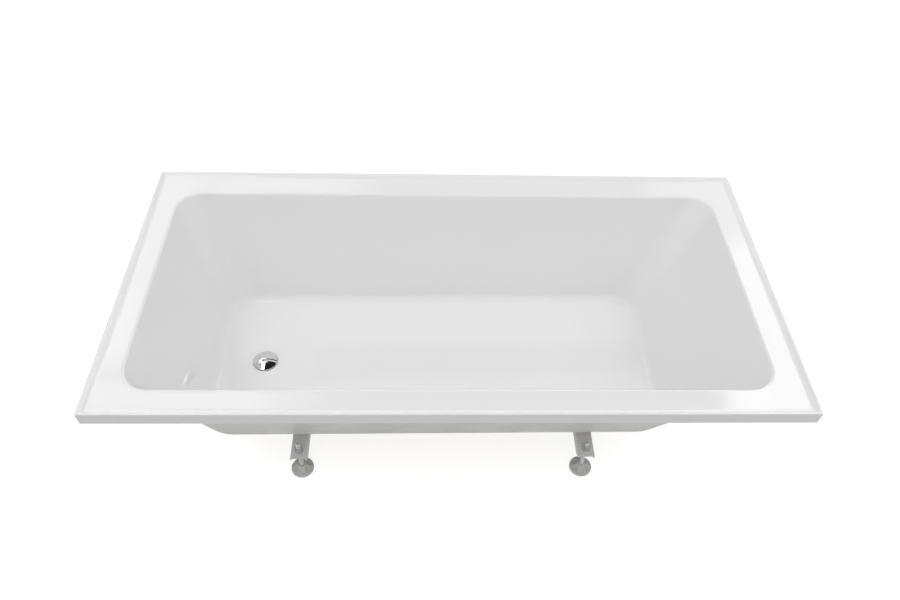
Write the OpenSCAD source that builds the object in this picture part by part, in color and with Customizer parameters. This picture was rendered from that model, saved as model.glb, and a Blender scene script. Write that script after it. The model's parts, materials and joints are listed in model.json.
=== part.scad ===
// Inset bath: a vacuum-formed acrylic shell with a glass-fibre backing, rim battens
// and a base board, a push-button waste, and two leg bars on four levelling feet.
// Millimetres, +Z up. X runs along the bath with the waste end at -X, and +Y is the
// wall side. The origin is on the floor under the middle of the rim.

/* [Overall size] */
// Length over the rim
length = 1520; // [1400:10:1800]
// Width over the rim
width = 760; // [700:10:900]
// Height of the bead's top above the floor the feet stand on
height = 440; // [425:5:560]

/* [Rim] */
// Rim from the outer face to the basin's edge, at the waste end
rim_waste = 64; // [60:1:110]
// The same, at the backrest end
rim_rest = 67; // [60:1:110]
// The same, along the front
rim_front = 66.5; // [60:0.5:100]
// The same, along the back
rim_back = 79; // [60:1:110]
// Plan radius of the basin's mouth
mouth_r = 62; // [50:1:110]
// Radius of the roll from the rim down into the basin
roll_r = 10; // [9:0.5:16]
// Height of the raised bead above the flat rim
bead_h = 7.5; // [4:0.5:12]
// Width of the bead's flat top
bead_w = 4; // [3:0.5:8]
// Run of the bead's sloping inner face
bead_slope = 4; // [2:0.5:8]
// Depth of the turned-down skirt, from the bead's top
skirt_h = 33; // [31:1:60]
// Plan radius of the rim's outer corners
corner_r = 6; // [5:0.5:12]

/* [Basin] */
// Depth from the bead's top to the floor at the waste
depth = 330; // [280:5:340]
// How far the waste-end wall leans in between the mouth and the floor
lean_waste = 96; // [60:1:140]
// The same for the backrest
lean_rest = 163; // [100:1:240]
// The same for the front wall
lean_front = 93.5; // [50:0.5:100]
// The same for the back wall
lean_back = 81; // [50:1:100]
// Plan radius of the basin's corners where the walls meet the floor
floor_corner_r = 70; // [60:1:100]
// Radius between the walls and the floor
floor_r = 20; // [15:1:40]
// Rise of the floor from the waste-end wall to the backrest
floor_fall = 11; // [0:1:14]

/* [Sheet and backing] */
// Thickness of the acrylic sheet
acrylic_t = 4; // [3:0.5:5]
// Thickness of the glass-fibre layer
glass_t = 3; // [2:0.5:4]
// Width of the battens under the rim
batten_w = 40; // [30:1:42]
// Thickness of the battens
batten_t = 15; // [10:1:16]
// Thickness of the base board
board_t = 18; // [15:1:20]
// Distance from the flat floor's edge to the base board's edge
board_edge = 10; // [5:1:30]
// Radius of the base board's hole round the waste
board_hole_r = 52; // [50:1:60]

/* [Waste] */
// From the foot of the waste-end wall to the waste's centre
waste_in = 116.5; // [100:0.5:160]
// Radius of the waste's flange
flange_r = 30; // [29.5:0.5:33]
// Thickness of the flange
flange_t = 4.5; // [4:0.5:5]
// Outer radius of the threaded tail
tail_r = 23.9; // [22:0.1:24]
// Wall of the tail
tail_wall = 2.9; // [2:0.1:3.2]
// Length of the waste below the basin floor
tail_l = 64; // [56:1:70]
// Radius of the plug's cap
cap_r = 31; // [30:0.5:32]
// Height of the cap's straight edge
cap_t = 2; // [2:0.5:4]
// Rise of the cap's dome above that edge
cap_dome = 6; // [3:0.5:7]
// Lift of the plug from shut to open. The plug is built shut
plug_lift = 9; // [6:0.5:10]
// Radius of the plunger's stem
stem_r = 3.5; // [3:0.1:3.8]

/* [Legs and feet] */
// From the base board's end at the waste to the middle of its leg bar
leg_in_waste = 205; // [195:5:280]
// From the base board's other end to the middle of its leg bar
leg_in_rest = 165; // [125:5:260]
// From the foot of the front wall out to the foot rods
foot_out = 36; // [34:1:50]
// Width of a leg bar
bar_w = 40; // [36:1:50]
// Depth of a leg bar
bar_h = 25; // [20:1:28]
// Steel thickness of a leg bar
bar_t = 2; // [1.5:0.5:3]
// Radius of a foot's threaded rod
rod_r = 5; // [4:0.5:6]
// Length of rod that stands above the leg bar under the backrest
rod_up = 26; // [24:1:30]
// Radius of a foot's pad
pad_r = 28; // [22:1:32]
// Height of a foot's pad, without its boss
pad_h = 8; // [6:1:12]

/* [Hidden] */

// Clearance of a running fit, of a bolt in its hole, and of a seat that closes
run_gap = 0.06;
hole_gap = 0.5;
seat_gap = 0.3;
// Thickness of the resin between two layers that are bonded together
bond_t = 0.05;
// Extra length of a cutting tool past the face it leaves
over = 1;
// Steps round a quarter circle of the basin's plan, and along each rolled edge
corner_steps = 12;
edge_steps = 6;

// Heights
rim_z = height - bead_h;
floor_depth = depth - bead_h;
floor_z = height - depth;

// The basin's mouth, and the foot of each wall where it meets the floor
mouth_x0 = -length / 2 + rim_waste;
mouth_x1 = length / 2 - rim_rest;
mouth_y0 = -width / 2 + rim_front;
mouth_y1 = width / 2 - rim_back;
foot_x0 = mouth_x0 + lean_waste;
foot_x1 = mouth_x1 - lean_rest;
fall_slope = floor_fall / (foot_x1 - foot_x0);
fall_angle = atan(fall_slope);
waste_x = foot_x0 + waste_in;
waste_y = (mouth_y0 + lean_front + mouth_y1 - lean_back) / 2;

// Both layers of the shell with the resin between, and the battens' outer faces
shell_t = acrylic_t + bond_t + glass_t;
batten_gap = 3;
batten_x = length / 2 - acrylic_t - batten_gap;
batten_y = width / 2 - acrylic_t - batten_gap;

// Waste: heights are above the basin floor at the waste
recess_d = 5;
recess_r = flange_r + 5;
recess_flare = recess_d + 2;
gasket_t = 1;
flange_z = -recess_d + gasket_t;
flange_top = flange_z + flange_t;
waste_hole_r = tail_r + 1.1;
boss_bottom = -recess_d - acrylic_t;
backing_bottom = boss_bottom - bond_t - glass_t;
lower_gasket_t = 3.5;
slip_t = 1.5;
backnut_t = 8;
backnut_flat = 60;
thread_gap = 0.1;
cup_r = flange_r - 4;
cup_d = 3.5;
seal_t = 2.3;
seal_in = 0.8;
tail_bore = tail_r - tail_wall;

// Plug: a barrel on the web of the waste, with a sprung plunger that carries the cap
cap_z = flange_top + seat_gap;
cap_boss_r = stem_r + 3;
cap_boss_l = 6;
barrel_r = stem_r + 4;
barrel_wall = 1.5;
barrel_top = cap_z - cap_boss_l - 0.6;
piston_r = barrel_r - barrel_wall - run_gap;
piston_l = 4;
spring_l = 9;
barrel_l = 2 * barrel_wall + piston_l + plug_lift + spring_l + seat_gap;
hub_top = barrel_top - barrel_l;
hub_r = barrel_r + 1.5;
hub_l = 8;
spigot_r = barrel_r - 2.5;
web_t = 3;

// Base board and legs
board_top = floor_z - shell_t - bond_t;
board_bottom = board_top - board_t / cos(fall_angle);
floor_edge = 0.75 * floor_r;
board_x0 = foot_x0 + floor_edge + board_edge;
board_x1 = foot_x1 - floor_edge - board_edge;
board_y0 = mouth_y0 + lean_front + floor_edge + board_edge;
board_y1 = mouth_y1 - lean_back - floor_edge - board_edge;
board_r = 50;
foot_y = max(-mouth_y0 - lean_front, mouth_y1 - lean_back) + foot_out;
leg_x_waste = board_x0 + leg_in_waste;
leg_x_rest = board_x1 - leg_in_rest;
bar_end = 22;
bar_bend_r = 1.2 * bar_t;
screw_y = [-150, -60, 60, 150];
screw_r = 2.25;
screw_l = 17;
screw_head_r = 4.5;
screw_head_t = 3;

// Feet: name, leg bar's place, side
FEET = [
    ["front_left", leg_x_waste, -1],
    ["back_left", leg_x_waste, 1],
    ["front_right", leg_x_rest, -1],
    ["back_right", leg_x_rest, 1]
];
nut_flat = 3.4 * rod_r;
nut_t = 1.6 * rod_r;
washer_r = 2 * rod_r;
washer_t = 2;
face_gap = 0.05;
pad_boss_r = rod_r + 6;
pad_boss_h = 14;
pad_ribs = 6;
pad_rib_t = 2.5;
rod_z = 5;

// Height of the board's underside at a place along the bath
function board_low(x) = board_bottom + fall_slope * (x - waste_x);
// Top of the leg bar at that place, which touches the board along its lower edge
function bar_top(x) = board_low(x - bar_w / 2);

// Top of every rod, set by the higher bar
rod_top = bar_top(leg_x_rest) + rod_up;

// Distance from the mouth's edge to the wall at depth t, for a wall that leans in by
// lean over the depth h, with a roll r1 at the top and a fillet r2 at the floor
function wall_in(t, lean, h, r1, r2) =
    let (
        a = atan(lean / h),
        t1 = r1 * (1 - sin(a)),
        t2 = h - r2 * (1 - sin(a))
    )
    t < t1 ? sqrt(max(0, r1 * r1 - pow(r1 - t, 2))) - t1 / cos(a) :
    t < t2 ? t * tan(a) :
    t2 * tan(a) + r2 * cos(a) - sqrt(max(0, r2 * r2 - pow(t - h + r2, 2)));

// The same for the surface a distance off outside the basin's own
function wall_off(t, lean, off) =
    let (a = atan(lean / floor_depth))
    off * (tan(a) - 1 / cos(a)) + wall_in(t, lean, floor_depth, roll_r - off, floor_r + off);

// How far the roll or the fillet departs from the straight wall
function edge_extra(t, lean, off) =
    wall_in(t, lean, floor_depth, roll_r - off, floor_r + off) - t * lean / floor_depth;

// Depths of the rings, closer together in the roll and in the fillet
function depths(off) = concat(
    [for (i = [0:edge_steps]) 0.8 * (roll_r - off) * pow(i / edge_steps, 2)],
    [for (i = [edge_steps:-1:0]) floor_depth - 0.8 * (floor_r + off) * pow(i / edge_steps, 2)]
);

// Points of a rounded rectangle, the same number for every radius
function ring_xy(x0, x1, y0, y1, r) = [
    for (c = [[x1 - r, y0 + r, -90], [x1 - r, y1 - r, 0], [x0 + r, y1 - r, 90], [x0 + r, y0 + r, 180]])
        for (i = [0:corner_steps])
            let (a = c[2] + 90 * i / corner_steps)
            [c[0] + r * cos(a), c[1] + r * sin(a)]
];

// One ring of the basin at depth t, on the surface a distance off outside its own
function basin_ring(t, off) =
    let (
        leans = [lean_waste, lean_rest, lean_front, lean_back],
        e = [for (l = leans) wall_off(t, l, off)],
        extra = [for (l = leans) edge_extra(t, l, off)] * [0.25, 0.25, 0.25, 0.25],
        r = mouth_r + off + (floor_corner_r - mouth_r) * t / floor_depth - extra
    )
    [
        for (p = ring_xy(mouth_x0 + e[0], mouth_x1 - e[1], mouth_y0 + e[2], mouth_y1 - e[3], r))
            [p[0], p[1], rim_z - off - t + fall_slope * (p[0] - waste_x) * t / floor_depth]
    ];

// Rings of that surface from the floor up to the rim
function basin_rings(off) =
    let (d = depths(off), n = len(d))
    [for (i = [n - 1:-1:0]) basin_ring(d[i], off)];

// One ring round the rim, a distance in from its outer face
function rim_ring(in, z) =
    let (x = length / 2 - in, y = width / 2 - in)
    [for (p = ring_xy(-x, x, -y, y, max(corner_r - in, 2.5))) [p[0], p[1], z]];

function turned(rings) = [for (i = [len(rings) - 1:-1:0]) rings[i]];

// A bowl through a chain of rings that starts and ends on a flat floor. The strips from
// ring turn on run downwards, and are cut along the other diagonal, so that two layers
// that share a surface share its facets.
module bowl(rings, turn) {
    n = len(rings[0]);
    m = len(rings);
    points = [for (r = rings) for (p = r) p];
    sides = [
        for (k = [0:m - 2])
            for (j = [0:n - 1])
                let (a = k * n + j, b = k * n + (j + 1) % n)
                for (f = k < turn ? [[a, b, b + n], [a, b + n, a + n]] : [[a, b, a + n], [b, b + n, a + n]])
                    f
    ];
    upper_cap = [[for (j = [n - 1:-1:0]) j]];
    lower_cap = [[for (j = [0:n - 1]) (m - 1) * n + j]];
    polyhedron(points = points, faces = concat(upper_cap, sides, lower_cap), convexity = 6);
}

module rounded_plate(x0, x1, y0, y1, r) {
    translate([x0 + r, y0]) square([x1 - x0 - 2 * r, y1 - y0]);
    translate([x0, y0 + r]) square([x1 - x0, y1 - y0 - 2 * r]);
    for (x = [x0 + r, x1 - r])
        for (y = [y0 + r, y1 - r])
            translate([x, y]) circle(r, $fn = 64);
}

module tube(r_out, r_in, h) {
    difference() {
        cylinder(r = r_out, h = h, $fn = 96);
        translate([0, 0, -over]) cylinder(r = r_in, h = h + 2 * over, $fn = 96);
    }
}

module at_waste(z = 0) {
    translate([waste_x, waste_y, floor_z + z]) children();
}

// Shell: basin, flat rim, raised bead all round, and the skirt that hides the deck's edge
module acrylic_shell() {
    basin = basin_rings(0);
    toe = bead_w + bead_slope;
    rim = [
        rim_ring(toe + 3.5, rim_z),
        rim_ring(toe + 1.2, rim_z + 0.06 * bead_h),
        rim_ring(toe - 0.4, rim_z + 0.25 * bead_h),
        rim_ring(bead_w + 0.9, height - 0.12 * bead_h),
        rim_ring(bead_w, height),
        rim_ring(1, height),
        rim_ring(0.3, height - 0.3),
        rim_ring(0, height - 1),
        rim_ring(0, height - skirt_h),
        rim_ring(acrylic_t, height - skirt_h),
        rim_ring(acrylic_t, rim_z - acrylic_t)
    ];
    color("white")
        difference() {
            union() {
                bowl(concat(basin, rim, turned(basin_rings(acrylic_t))), len(basin) + len(rim) - 1);
                at_waste(boss_bottom)
                    cylinder(r = recess_r + acrylic_t, h = recess_d + acrylic_t / 2, $fn = 96);
            }
            at_waste(-recess_d)
                cylinder(r1 = recess_r, r2 = recess_r + recess_flare, h = recess_flare, $fn = 96);
            at_waste(boss_bottom - over)
                cylinder(r = waste_hole_r, h = acrylic_t + 2 * over, $fn = 96);
        }
}

// Backing: glass fibre laid on the underside of the basin and the rim
module glass_fibre_backing() {
    edge = acrylic_t + 1;
    inner = acrylic_t + bond_t;
    basin = basin_rings(inner);
    rim = [rim_ring(edge, rim_z - inner), rim_ring(edge, rim_z - shell_t)];
    color("ivory")
        difference() {
            union() {
                bowl(concat(basin, rim, turned(basin_rings(shell_t))), len(basin) + len(rim) - 1);
                at_waste(backing_bottom)
                    cylinder(r = recess_r + shell_t, h = recess_d + glass_t / 2, $fn = 96);
            }
            at_waste(boss_bottom - bond_t)
                cylinder(r = recess_r + inner, h = recess_d + acrylic_t, $fn = 96);
            at_waste(backing_bottom - over)
                cylinder(r = waste_hole_r, h = glass_t + 2 * over, $fn = 96);
        }
}

// Board that stiffens the floor. It lies along the floor's fall, with a hole round the waste
module base_board() {
    pilot_r = screw_r + run_gap;
    color("burlywood")
        difference() {
            translate([waste_x, 0, board_top])
                rotate([0, -fall_angle, 0])
                    translate([-waste_x, 0, -board_t])
                        linear_extrude(board_t)
                            difference() {
                                rounded_plate(board_x0, board_x1, board_y0, board_y1, board_r);
                                translate([waste_x, waste_y]) circle(board_hole_r, $fn = 96);
                            }
            for (x = [leg_x_waste, leg_x_rest])
                for (y = screw_y)
                    translate([x, y, bar_top(x) - over])
                        cylinder(r = pilot_r, h = screw_l - bar_t + over + 0.5, $fn = 32);
        }
}

// Battens under the flat rim: the long ones run the full length, the others fit between
module batten(x0, x1, y0, y1) {
    color("peru")
        translate([x0, y0, rim_z - shell_t - batten_t])
            cube([x1 - x0, y1 - y0, batten_t]);
}

module rim_batten_front() {
    batten(-batten_x, batten_x, -batten_y, -batten_y + batten_w);
}

module rim_batten_back() {
    batten(-batten_x, batten_x, batten_y - batten_w, batten_y);
}

module end_batten(x0) {
    inner = batten_y - batten_w - seat_gap;
    batten(x0, x0 + batten_w, -inner, inner);
}

module rim_batten_waste_end() {
    end_batten(-batten_x);
}

module rim_batten_backrest_end() {
    end_batten(batten_x - batten_w);
}

// Radius of the flange's tapered seat at a height above the basin floor
function cup_at(z) = tail_bore + (cup_r - tail_bore) * (z - flange_top + cup_d) / cup_d;

// Waste: flange with a tapered seat, threaded tail, and a web that carries the plug
module waste_body() {
    color("silver")
        at_waste() {
            rotate_extrude($fn = 96)
                polygon([
                    [tail_bore, -tail_l],
                    [tail_r - 1, -tail_l],
                    [tail_r, -tail_l + 1],
                    [tail_r, flange_z],
                    [flange_r - 0.4, flange_z],
                    [flange_r, flange_z + 0.5],
                    [flange_r - 0.6, flange_top - 0.4],
                    [flange_r - 1.6, flange_top],
                    [cup_r, flange_top],
                    [tail_bore, flange_top - cup_d]
                ]);
            translate([0, 0, hub_top - hub_l]) {
                tube(hub_r, spigot_r + run_gap, hub_l);
                for (a = [90, 210, 330])
                    rotate([0, 0, a])
                        translate([spigot_r + 2, -web_t / 2, 0])
                            cube([tail_bore + 0.5 - spigot_r - 2, web_t, hub_l]);
            }
        }
}

module waste_gasket_upper() {
    color("dimgray") at_waste(-recess_d) tube(flange_r - 0.5, tail_r + 0.3, gasket_t);
}

module waste_gasket_lower() {
    color("dimgray") at_waste(backing_bottom - lower_gasket_t) tube(flange_r, tail_r + 0.3, lower_gasket_t);
}

module waste_slip_washer() {
    color("whitesmoke")
        at_waste(backing_bottom - lower_gasket_t - slip_t)
            tube(flange_r, tail_r + 0.3, slip_t);
}

module waste_backnut() {
    color("silver")
        at_waste(backing_bottom - lower_gasket_t - slip_t - backnut_t)
            difference() {
                union() {
                    cylinder(r = backnut_flat / 2 / cos(30), h = backnut_t - 2, $fn = 6);
                    translate([0, 0, backnut_t - 2]) cylinder(r = flange_r, h = 2, $fn = 96);
                }
                translate([0, 0, -over])
                    cylinder(r = tail_r + thread_gap, h = backnut_t + 2 * over, $fn = 96);
            }
}

// Barrel of the push-button waste, screwed into the web
module plug_cartridge() {
    color("gainsboro")
        at_waste(hub_top)
            difference() {
                union() {
                    cylinder(r = barrel_r, h = barrel_l, $fn = 64);
                    translate([0, 0, -hub_l]) cylinder(r = spigot_r, h = hub_l + over, $fn = 64);
                }
                translate([0, 0, barrel_wall])
                    cylinder(r = barrel_r - barrel_wall, h = barrel_l - 2 * barrel_wall, $fn = 64);
                translate([0, 0, barrel_l - barrel_wall - over])
                    cylinder(r = stem_r + run_gap, h = barrel_wall + 2 * over, $fn = 64);
            }
}

// Spring under the piston, at its length when the plug is shut
module plug_spring() {
    wire_r = 0.5;
    mean_r = barrel_r - barrel_wall - wire_r - 0.4;
    turns = 5;
    steps = 16;
    sides = 6;
    count = turns * steps;
    pitch = (spring_l - 2 * wire_r - 0.2) / turns;
    points = [
        for (i = [0:count])
            for (k = [0:sides - 1])
                let (
                    a = 360 * i / steps,
                    b = 360 * k / sides,
                    r = mean_r + wire_r * cos(b)
                )
                [r * cos(a), r * sin(a), wire_r + 0.1 + pitch * i / steps + wire_r * sin(b)]
    ];
    skin = [
        for (i = [0:count - 1])
            for (k = [0:sides - 1])
                let (
                    a = i * sides + k,
                    b = i * sides + (k + 1) % sides
                )
                for (f = [[a, b, b + sides], [a, b + sides, a + sides]])
                    f
    ];
    start = [[for (k = [sides - 1:-1:0]) k]];
    end = [[for (k = [0:sides - 1]) count * sides + k]];
    color("gray") at_waste(hub_top + barrel_wall) polyhedron(points = points, faces = concat(start, skin, end));
}

// Plunger: piston in the barrel, and the stem that the cap screws onto
module plug_plunger() {
    piston_z = hub_top + barrel_wall + spring_l;
    stem_top = cap_z - cap_boss_l + 5;
    color("gainsboro")
        at_waste(piston_z) {
            cylinder(r = piston_r, h = piston_l, $fn = 64);
            cylinder(r = stem_r, h = stem_top - piston_z, $fn = 64);
        }
}

// Cap: a shallow chromed dome with a boss for the stem
module plug_cap() {
    dome_r = (cap_r * cap_r + cap_dome * cap_dome) / (2 * cap_dome);
    edge = 0.8;
    color("silver")
        at_waste(cap_z)
            difference() {
                union() {
                    cylinder(r1 = cap_r - edge, r2 = cap_r, h = edge, $fn = 96);
                    translate([0, 0, edge]) cylinder(r = cap_r, h = cap_t - edge, $fn = 96);
                    intersection() {
                        translate([0, 0, cap_t + cap_dome - dome_r]) sphere(r = dome_r, $fn = 180);
                        translate([0, 0, cap_t - 0.5]) cylinder(r = cap_r, h = cap_dome + 1, $fn = 96);
                    }
                    translate([0, 0, -cap_boss_l]) cylinder(r = cap_boss_r, h = cap_boss_l + 1, $fn = 64);
                }
                translate([0, 0, -cap_boss_l - over])
                    cylinder(r = stem_r + run_gap, h = 5.5 + over, $fn = 64);
            }
}

// Seal: a rubber washer under the cap, tapered like the seat it closes on
module plug_seal() {
    low = cap_z - seal_t;
    color("dimgray")
        at_waste()
            rotate_extrude($fn = 96)
                polygon([
                    [cap_boss_r + run_gap, low],
                    [cup_at(low) - seal_in, low],
                    [cup_r - seal_in, flange_top],
                    [cup_r - seal_in, cap_z],
                    [cap_boss_r + run_gap, cap_z]
                ]);
}

// Cross-section of a leg bar: a pressed channel, open below
module channel_shape(w, h, r) {
    intersection() {
        translate([-w / 2, -h]) square([w, h]);
        union() {
            for (x = [-w / 2 + r, w / 2 - r])
                translate([x, -r]) circle(r, $fn = 48);
            translate([-w / 2 + r, -h]) square([w - 2 * r, h]);
            translate([-w / 2, -h - over]) square([w, h + over - r]);
        }
    }
}

module leg_bar(x) {
    half = foot_y + bar_end;
    color("gainsboro")
        translate([x, 0, bar_top(x)])
            difference() {
                translate([0, half, 0])
                    rotate([90, 0, 0])
                        linear_extrude(2 * half)
                            difference() {
                                channel_shape(bar_w, bar_h, bar_bend_r);
                                translate([0, -bar_t])
                                    channel_shape(bar_w - 2 * bar_t, bar_h, bar_bend_r - bar_t / 2);
                            }
                for (y = [-foot_y, foot_y])
                    translate([0, y, -bar_t - over])
                        cylinder(r = rod_r + hole_gap, h = bar_t + 2 * over, $fn = 48);
                for (y = screw_y)
                    translate([0, y, -bar_t - over])
                        cylinder(r = screw_r + hole_gap / 2, h = bar_t + 2 * over, $fn = 32);
                // The side flanges are cut away at a slant past the feet
                for (side = [-1, 1])
                    translate([0, side * (half + 1), -bar_h])
                        rotate([side * 35, 0, 0])
                            cube([bar_w + 2, 2 * bar_end, bar_h * 1.1], center = true);
            }
}

module leg_bar_waste_end() {
    leg_bar(leg_x_waste);
}

module leg_bar_backrest_end() {
    leg_bar(leg_x_rest);
}

// Pan-head screws through the leg bars into the base board
module leg_bar_screws() {
    color("silver")
        for (x = [leg_x_waste, leg_x_rest])
            for (y = screw_y)
                translate([x, y, bar_top(x) - bar_t]) {
                    translate([0, 0, -screw_head_t])
                        cylinder(r1 = screw_head_r - 1, r2 = screw_head_r, h = screw_head_t, $fn = 48);
                    cylinder(r = screw_r, h = screw_l, $fn = 32);
                }
}

// Washers above and below the leg bars at each foot
module foot_washers() {
    color("silver")
        for (f = FEET)
            translate([f[1], f[2] * foot_y, bar_top(f[1])])
                for (z = [0, -bar_t - washer_t])
                    translate([0, 0, z]) tube(washer_r, rod_r + hole_gap / 2, washer_t);
}

module foot_nut(f, z) {
    color("silver")
        translate([f[1], f[2] * foot_y, bar_top(f[1]) + z])
            difference() {
                cylinder(r = nut_flat / 2 / cos(30), h = nut_t, $fn = 6);
                translate([0, 0, -over]) cylinder(r = rod_r + run_gap, h = nut_t + 2 * over, $fn = 48);
            }
}

// Nut under the leg bar, which carries the load and sets the height
module adjusting_nut(f) {
    foot_nut(f, -bar_t - washer_t - face_gap - nut_t);
}

// Nut on top of the leg bar, tightened once the bath is level
module lock_nut(f) {
    foot_nut(f, washer_t + face_gap);
}

module foot_rod(f) {
    color("silver")
        translate([f[1], f[2] * foot_y, rod_z]) {
            cylinder(r = rod_r, h = rod_top - rod_z - 1, $fn = 48);
            translate([0, 0, rod_top - rod_z - 1])
                cylinder(r1 = rod_r, r2 = rod_r - 1, h = 1, $fn = 48);
        }
}

// Pad: a ribbed disc with a socket for the rod
module foot_pad(f) {
    edge = 1.5;
    color("whitesmoke")
        translate([f[1], f[2] * foot_y, 0])
            difference() {
                union() {
                    rotate_extrude($fn = 96)
                        polygon([
                            [0, 0],
                            [pad_r - edge, 0],
                            [pad_r, edge],
                            [pad_r, pad_h - edge],
                            [pad_r - edge, pad_h],
                            [pad_boss_r + edge, pad_h],
                            [pad_boss_r, pad_h + edge],
                            [pad_boss_r, pad_h + pad_boss_h - 1],
                            [pad_boss_r - 1, pad_h + pad_boss_h],
                            [0, pad_h + pad_boss_h]
                        ]);
                    intersection() {
                        for (i = [0:pad_ribs - 1])
                            rotate([0, 0, 360 * i / pad_ribs])
                                translate([0, -pad_rib_t / 2, pad_h / 2])
                                    cube([pad_r, pad_rib_t, pad_h / 2 + pad_boss_h]);
                        cylinder(r1 = pad_r + 2, r2 = pad_boss_r - 1, h = pad_h + pad_boss_h - 1, $fn = 96);
                    }
                }
                translate([0, 0, rod_z]) cylinder(r = rod_r + run_gap, h = pad_h + pad_boss_h, $fn = 48);
            }
}

acrylic_shell();
glass_fibre_backing();
base_board();
rim_batten_front();
rim_batten_back();
rim_batten_waste_end();
rim_batten_backrest_end();
waste_body();
waste_gasket_upper();
waste_gasket_lower();
waste_slip_washer();
waste_backnut();
plug_cartridge();
plug_spring();
plug_plunger();
plug_cap();
plug_seal();
leg_bar_waste_end();
leg_bar_backrest_end();
leg_bar_screws();
foot_washers();
for (f = FEET) {
    foot_rod(f);
    foot_pad(f);
    adjusting_nut(f);
    lock_nut(f);
}
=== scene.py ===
"""Looks of the inset bath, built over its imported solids."""

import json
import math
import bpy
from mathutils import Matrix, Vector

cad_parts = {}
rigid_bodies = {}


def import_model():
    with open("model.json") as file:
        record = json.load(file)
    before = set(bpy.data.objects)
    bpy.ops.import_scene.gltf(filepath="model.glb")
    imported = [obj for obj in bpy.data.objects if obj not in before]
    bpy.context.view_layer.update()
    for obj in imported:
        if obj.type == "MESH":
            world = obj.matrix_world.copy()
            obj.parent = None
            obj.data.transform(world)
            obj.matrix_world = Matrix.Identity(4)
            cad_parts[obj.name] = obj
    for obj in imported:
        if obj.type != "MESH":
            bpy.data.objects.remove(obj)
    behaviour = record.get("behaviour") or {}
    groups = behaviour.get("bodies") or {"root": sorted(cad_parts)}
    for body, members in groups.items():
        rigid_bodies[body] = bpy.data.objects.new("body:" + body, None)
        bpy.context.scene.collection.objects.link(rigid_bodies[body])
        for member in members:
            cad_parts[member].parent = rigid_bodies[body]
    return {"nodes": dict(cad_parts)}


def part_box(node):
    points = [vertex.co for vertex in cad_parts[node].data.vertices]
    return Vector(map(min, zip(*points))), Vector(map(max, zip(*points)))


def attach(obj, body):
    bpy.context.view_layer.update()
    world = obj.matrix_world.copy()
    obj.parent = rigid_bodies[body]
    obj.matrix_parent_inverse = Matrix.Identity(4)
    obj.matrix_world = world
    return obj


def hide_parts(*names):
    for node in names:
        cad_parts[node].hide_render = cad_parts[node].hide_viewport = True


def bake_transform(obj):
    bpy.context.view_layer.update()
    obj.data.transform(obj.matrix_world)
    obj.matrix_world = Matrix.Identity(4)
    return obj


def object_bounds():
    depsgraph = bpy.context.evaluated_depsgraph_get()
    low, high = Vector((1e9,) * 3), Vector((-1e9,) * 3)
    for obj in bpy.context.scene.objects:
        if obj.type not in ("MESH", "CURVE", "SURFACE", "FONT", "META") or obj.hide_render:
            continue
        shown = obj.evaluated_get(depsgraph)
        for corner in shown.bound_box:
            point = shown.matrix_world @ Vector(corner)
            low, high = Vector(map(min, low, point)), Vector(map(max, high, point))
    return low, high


bl_info = {
    "name": "Inset bath",
    "version": (1, 0, 0),
    "blender": (4, 5, 0),
    "location": "View3D > Sidebar > Bath",
    "description": "Dresses the solids of an inset bath: shell, backing, waste, legs and stage",
    "category": "Object",
}

import bmesh
import bpy
from bpy.props import FloatProperty, FloatVectorProperty, IntProperty, PointerProperty
from mathutils import Matrix, Vector

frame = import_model()
cad_low, cad_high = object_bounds()

TUB = "tub"
PLUG = "plug"
CORNERS = ("front_left", "back_left", "front_right", "back_right")


# Sizes and colours


def length(name, description, default):
    """A size in metres that a user can change."""
    return FloatProperty(name=name, description=description, default=default, min=0.0, unit="LENGTH")


def strength(name, description, default):
    """A share or a strength that a user can change."""
    return FloatProperty(name=name, description=description, default=default, min=0.0)


def rotation(name, description, degrees):
    """An angle that a user can change."""
    return FloatProperty(name=name, description=description, default=math.radians(degrees), unit="ROTATION")


def colour(name, description, default):
    """A colour that a user can change."""
    return FloatVectorProperty(
        name=name, description=description, default=default, min=0.0, max=1.0, subtype="COLOR"
    )


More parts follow.
